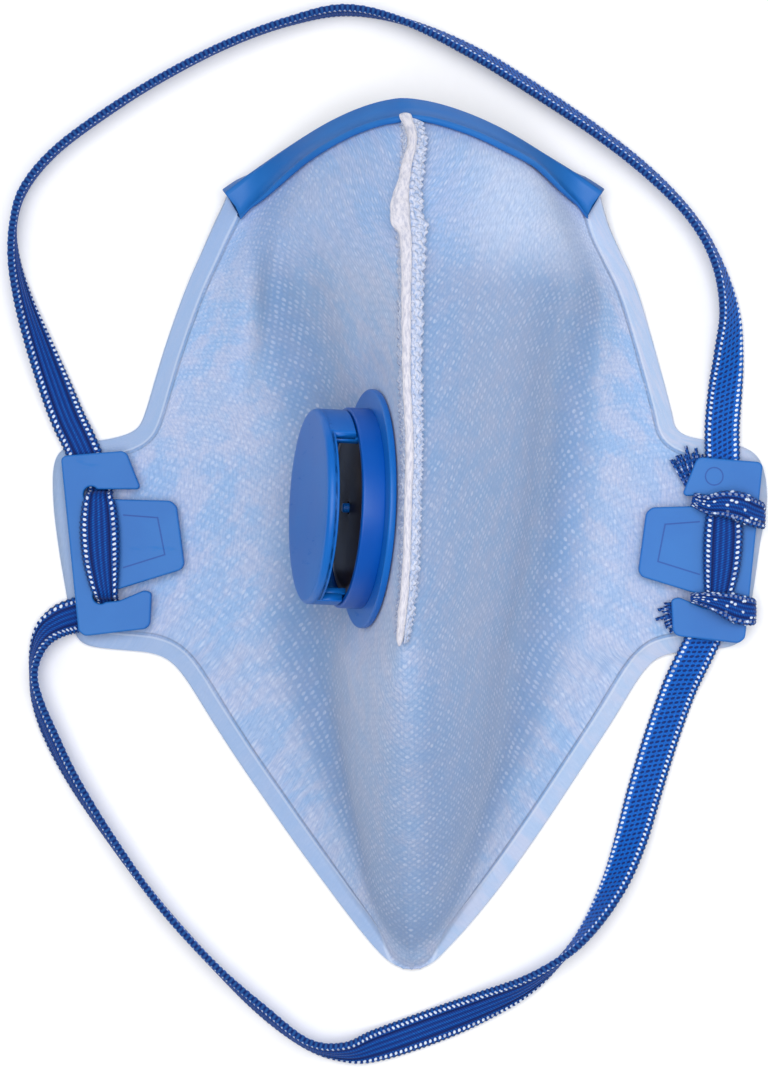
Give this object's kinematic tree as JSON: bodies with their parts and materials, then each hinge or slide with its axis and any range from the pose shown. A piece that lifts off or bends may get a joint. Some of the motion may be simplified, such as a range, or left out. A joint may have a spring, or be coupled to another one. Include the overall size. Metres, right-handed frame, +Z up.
{
  "type": "half-face anti-smog mask",
  "caption": "Vertical-fold half-face filter mask of pale blue nonwoven cloth with a nose clip, a side exhalation valve, plastic strap clips and elastic head straps, lying open side down.",
  "frame": {"origin": "on the surface that the mask lies on, under the middle of the mask without its free straps", "axes": "+Z up, away from the face; +Y towards the nose clip; +X towards the strap clip with the tied strap ends"},
  "size_m": [0.1479, 0.2062, 0.0656],
  "materials": {
    "cloth": "matt spunbond with an embossed grid of dots",
    "welded_cloth": "smoother, paler where the layers are welded",
    "filter_layer": "matt white nonwoven",
    "clip_plastic": "satin moulded plastic",
    "valve_plastic": "semi-gloss moulded plastic",
    "membrane": "thin smoky silicone",
    "elastic": "ribbed knitted elastic with pale flecks along both edges"
  },
  "bodies": {
    "root": {"facepiece": "cloth", "seam_allowance": "welded_cloth", "seam_core": "filter_layer", "nose_clip": "clip_plastic", "valve_base": "valve_plastic", "valve_membrane": "membrane", "valve_cap": "valve_plastic", "strap_clip_left": "clip_plastic", "strap_clip_right": "clip_plastic", "strap_upper": "elastic", "strap_lower": "elastic", "strap_bridge_left": "elastic", "strap_bridge_right": "elastic", "strap_knot_upper": "elastic", "strap_knot_lower": "elastic", "strap_tail_upper": "elastic", "strap_tail_lower": "elastic"}
  },
  "joints": []
}
